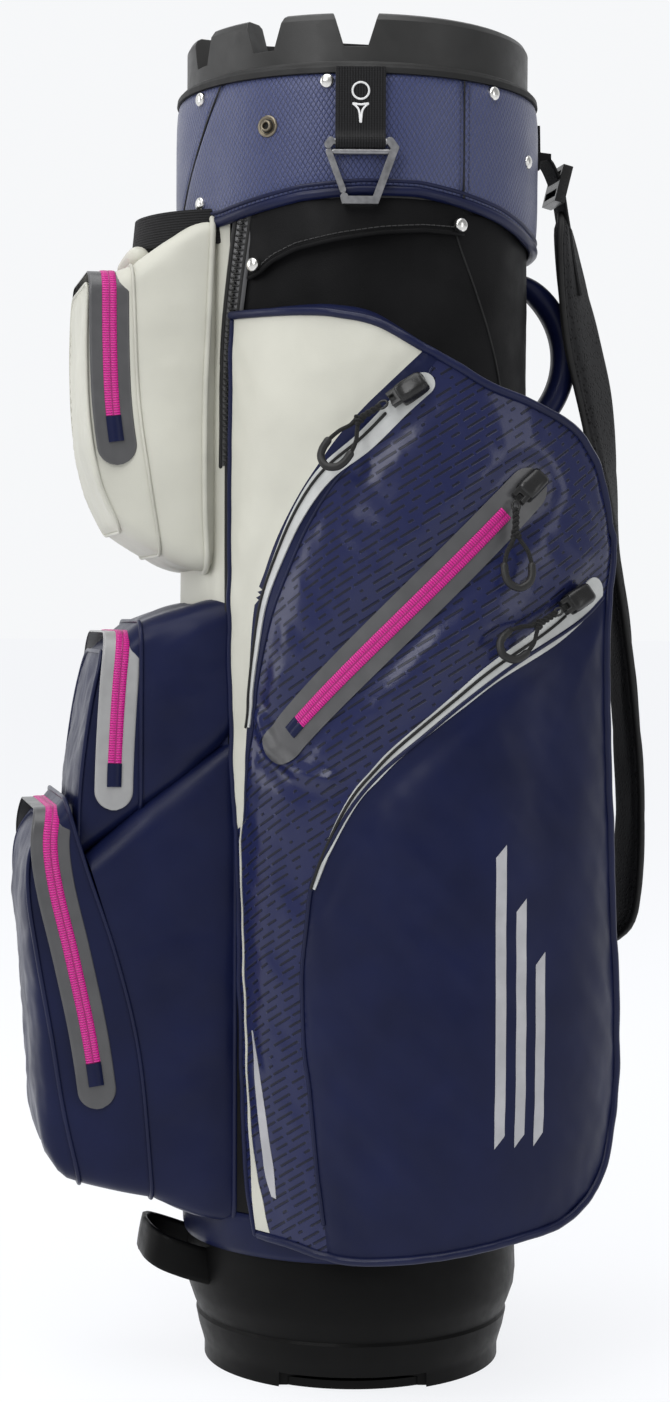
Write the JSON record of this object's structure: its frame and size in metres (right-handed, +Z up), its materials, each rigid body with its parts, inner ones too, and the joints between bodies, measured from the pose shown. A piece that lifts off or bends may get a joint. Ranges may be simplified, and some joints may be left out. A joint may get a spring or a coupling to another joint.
{
  "type": "golf cart bag",
  "caption": "Tall round golf cart bag: moulded notched top with club wells, padded collar, stacked front pockets, curved side pockets, sling strap, zips and a hanging clip.",
  "frame": {"origin": "on the floor, on the barrel's axis, under the middle of the base", "axes": "+Z up along the barrel; -Y is the front, where the stacked pockets are; +X is the bag's right-hand side"},
  "size_m": [0.3596, 0.4325, 0.897],
  "materials": {
    "moulded_black": "fine-grained moulded plastic",
    "moulded_charcoal": "satin moulded plastic",
    "sole_plastic": "moulded plastic with skid dimples",
    "liner_plastic": "smooth rolled sheet",
    "pad_foam": "dense foam felt",
    "divider_cloth": "woven polyester",
    "black_cloth": "coated black cloth",
    "black_leatherette": "grained black leatherette",
    "navy_leatherette": "smooth coated navy",
    "navy_embossed": "navy with a small embossed diamond",
    "navy_piping": "glossy piping",
    "white_leatherette": "coated warm white",
    "trim_black": "soft edging",
    "webbing_black": "ribbed webbing",
    "zip_tape_dark": "welded waterproof tape",
    "zip_tape_grey": "welded waterproof tape",
    "zip_coil": "moulded zip teeth",
    "zip_hardware": "black enamel",
    "pull_rubber": "moulded zip pull",
    "rivet_steel": "bright domed head",
    "snap_brass": "antique finish",
    "carabiner_metal": "satin gunmetal",
    "buckle_plastic": "acetal buckle",
    "strap_cloth": "padded air mesh",
    "handle_navy": "padded grip"
  },
  "bodies": {
    "bag": {"base_shell": "moulded_black", "base_sole": "sole_plastic", "base_floor_pad": "pad_foam", "base_grab_bar": "moulded_black", "barrel_liner": "liner_plastic", "barrel_cover": "black_leatherette", "lower_band": "navy_leatherette", "top_rim": "moulded_charcoal", "well_walls": "moulded_charcoal", "divider_sheets": "divider_cloth", "putter_collar": "moulded_charcoal", "top_trim_strip": "trim_black", "collar_band": "navy_embossed", "collar_piping": "navy_piping", "collar_rivets": "rivet_steel", "snap_stud": "snap_brass", "hanger_tab": "black_cloth", "side_flap_right": "black_leatherette", "side_flap_left": "black_leatherette", "flap_rivets": "rivet_steel", "front_grab_handle": "webbing_black", "rear_carry_handle": "handle_navy", "front_panel": "white_leatherette", "upper_pocket": "white_leatherette", "middle_pocket": "navy_leatherette", "ball_pocket": "navy_leatherette", "upper_pocket_zips": "zip_tape_dark", "middle_pocket_zips": "zip_tape_grey", "ball_pocket_zips": "zip_tape_dark", "side_pocket_right": "navy_leatherette", "side_pocket_left": "navy_leatherette", "side_zip_tapes_right": "zip_tape_dark", "side_zip_tapes_left": "zip_tape_dark", "seam_zips": "zip_coil", "strap_anchor_top": "webbing_black", "strap_anchor_bottom": "webbing_black"},
    "strap": {"shoulder_strap": "strap_cloth", "strap_buckle": "buckle_plastic"},
    "carabiner": {"carabiner_body": "carabiner_metal"},
    "carabiner_gate": {"carabiner_gate": "carabiner_metal"},
    "zip_slider_right_1": {"zip_slider_right_1": "zip_hardware"},
    "zip_pull_right_1": {"zip_pull_right_1": "pull_rubber"},
    "zip_slider_right_2": {"zip_slider_right_2": "zip_hardware"},
    "zip_pull_right_2": {"zip_pull_right_2": "pull_rubber"},
    "zip_slider_right_3": {"zip_slider_right_3": "zip_hardware"},
    "zip_pull_right_3": {"zip_pull_right_3": "pull_rubber"},
    "zip_slider_left_1": {"zip_slider_left_1": "zip_hardware"},
    "zip_pull_left_1": {"zip_pull_left_1": "pull_rubber"},
    "zip_slider_left_2": {"zip_slider_left_2": "zip_hardware"},
    "zip_pull_left_2": {"zip_pull_left_2": "pull_rubber"},
    "zip_slider_left_3": {"zip_slider_left_3": "zip_hardware"},
    "zip_pull_left_3": {"zip_pull_left_3": "pull_rubber"},
    "zip_slider_upper": {"zip_slider_upper": "zip_hardware"},
    "zip_slider_middle": {"zip_slider_middle": "zip_hardware"},
    "zip_slider_ball": {"zip_slider_ball": "zip_hardware"}
  },
  "joints": [
    {"name": "strap_swing", "type": "hinge", "parent": "bag", "child": "strap", "pos_m": [0, 0.1315, 0.53], "axis": [0, 0, 1], "range_deg": [-25, 25]},
    {"name": "carabiner_swing", "type": "hinge", "parent": "bag", "child": "carabiner", "pos_m": [0.12339, -0.02398, 0.7982], "axis": [-0.1908, -0.9816, 0], "range_deg": [0, 60]},
    {"name": "carabiner_gate_hinge", "type": "hinge", "parent": "carabiner", "child": "carabiner_gate", "pos_m": [0.11961, -0.04342, 0.7917], "axis": [0.9816, -0.1908, 0], "range_deg": [0, 20], "stiffness_Nm_per_rad": 0.02, "springref_deg": -5.73},
    {"name": "zip_travel_right_1", "type": "hinge", "parent": "bag", "child": "zip_slider_right_1", "pos_m": [0.1281, 0.13682, 0.46181], "axis": [0.9286, -0.2007, -0.3122], "range_deg": [0, 42.3]},
    {"name": "zip_pull_lift_right_1", "type": "hinge", "parent": "zip_slider_right_1", "child": "zip_pull_right_1", "pos_m": [0.15657, -0.01345, 0.63343], "axis": [-0.4342, -0.3895, 0.8122], "range_deg": [0, 60]},
    {"name": "zip_travel_right_2", "type": "hinge", "parent": "bag", "child": "zip_slider_right_2", "pos_m": [-0.13223, 0.08211, 0.5089], "axis": [0.1859, 0.6949, -0.6946], "range_deg": [0, 41.7]},
    {"name": "zip_pull_lift_right_2", "type": "hinge", "parent": "zip_slider_right_2", "child": "zip_pull_right_2", "pos_m": [0.16534, 0.06679, 0.57342], "axis": [-0.068, -0.9962, 0.0543], "range_deg": [0, 30]},
    {"name": "zip_travel_right_3", "type": "hinge", "parent": "bag", "child": "zip_slider_right_3", "pos_m": [-0.04273, 0.14908, 0.33246], "axis": [0.6331, 0.525, -0.5688], "range_deg": [0, 50.7]},
    {"name": "zip_pull_lift_right_3", "type": "hinge", "parent": "zip_slider_right_3", "child": "zip_pull_right_3", "pos_m": [0.15782, 0.09926, 0.50647], "axis": [-0.1907, -0.5348, 0.8232], "range_deg": [0, 60]},
    {"name": "zip_travel_left_1", "type": "hinge", "parent": "bag", "child": "zip_slider_left_1", "pos_m": [-0.1281, 0.13682, 0.46181], "axis": [0.9286, 0.2007, 0.3122], "range_deg": [0, 42.3]},
    {"name": "zip_pull_lift_left_1", "type": "hinge", "parent": "zip_slider_left_1", "child": "zip_pull_left_1", "pos_m": [-0.15657, -0.01345, 0.63343], "axis": [-0.4342, 0.3895, -0.8122], "range_deg": [0, 60]},
    {"name": "zip_travel_left_2", "type": "hinge", "parent": "bag", "child": "zip_slider_left_2", "pos_m": [0.13223, 0.08211, 0.5089], "axis": [0.1859, -0.6949, 0.6946], "range_deg": [0, 41.7]},
    {"name": "zip_pull_lift_left_2", "type": "hinge", "parent": "zip_slider_left_2", "child": "zip_pull_left_2", "pos_m": [-0.16534, 0.06679, 0.57342], "axis": [-0.068, 0.9962, -0.0543], "range_deg": [0, 30]},
    {"name": "zip_travel_left_3", "type": "hinge", "parent": "bag", "child": "zip_slider_left_3", "pos_m": [0.04273, 0.14908, 0.33246], "axis": [0.6331, -0.525, 0.5688], "range_deg": [0, 50.7]},
    {"name": "zip_pull_lift_left_3", "type": "hinge", "parent": "zip_slider_left_3", "child": "zip_pull_left_3", "pos_m": [-0.15782, 0.09926, 0.50647], "axis": [-0.1907, 0.5348, -0.8232], "range_deg": [0, 60]},
    {"name": "zip_travel_upper", "type": "slide", "parent": "bag", "child": "zip_slider_upper", "axis": [0, 0, 1], "range_m": [0, 0.085]},
    {"name": "zip_travel_middle", "type": "slide", "parent": "bag", "child": "zip_slider_middle", "axis": [0, 0, 1], "range_m": [0, 0.055]},
    {"name": "zip_travel_ball", "type": "slide", "parent": "bag", "child": "zip_slider_ball", "axis": [0, -0.1666, 0.986], "range_m": [0, 0.13]}
  ],
  "couplings": [
    {"joint": "zip_pull_lift_right_2", "follows": "zip_travel_right_2", "ratio": 0.4798},
    {"joint": "zip_pull_lift_left_2", "follows": "zip_travel_left_2", "ratio": 0.4798}
  ]
}
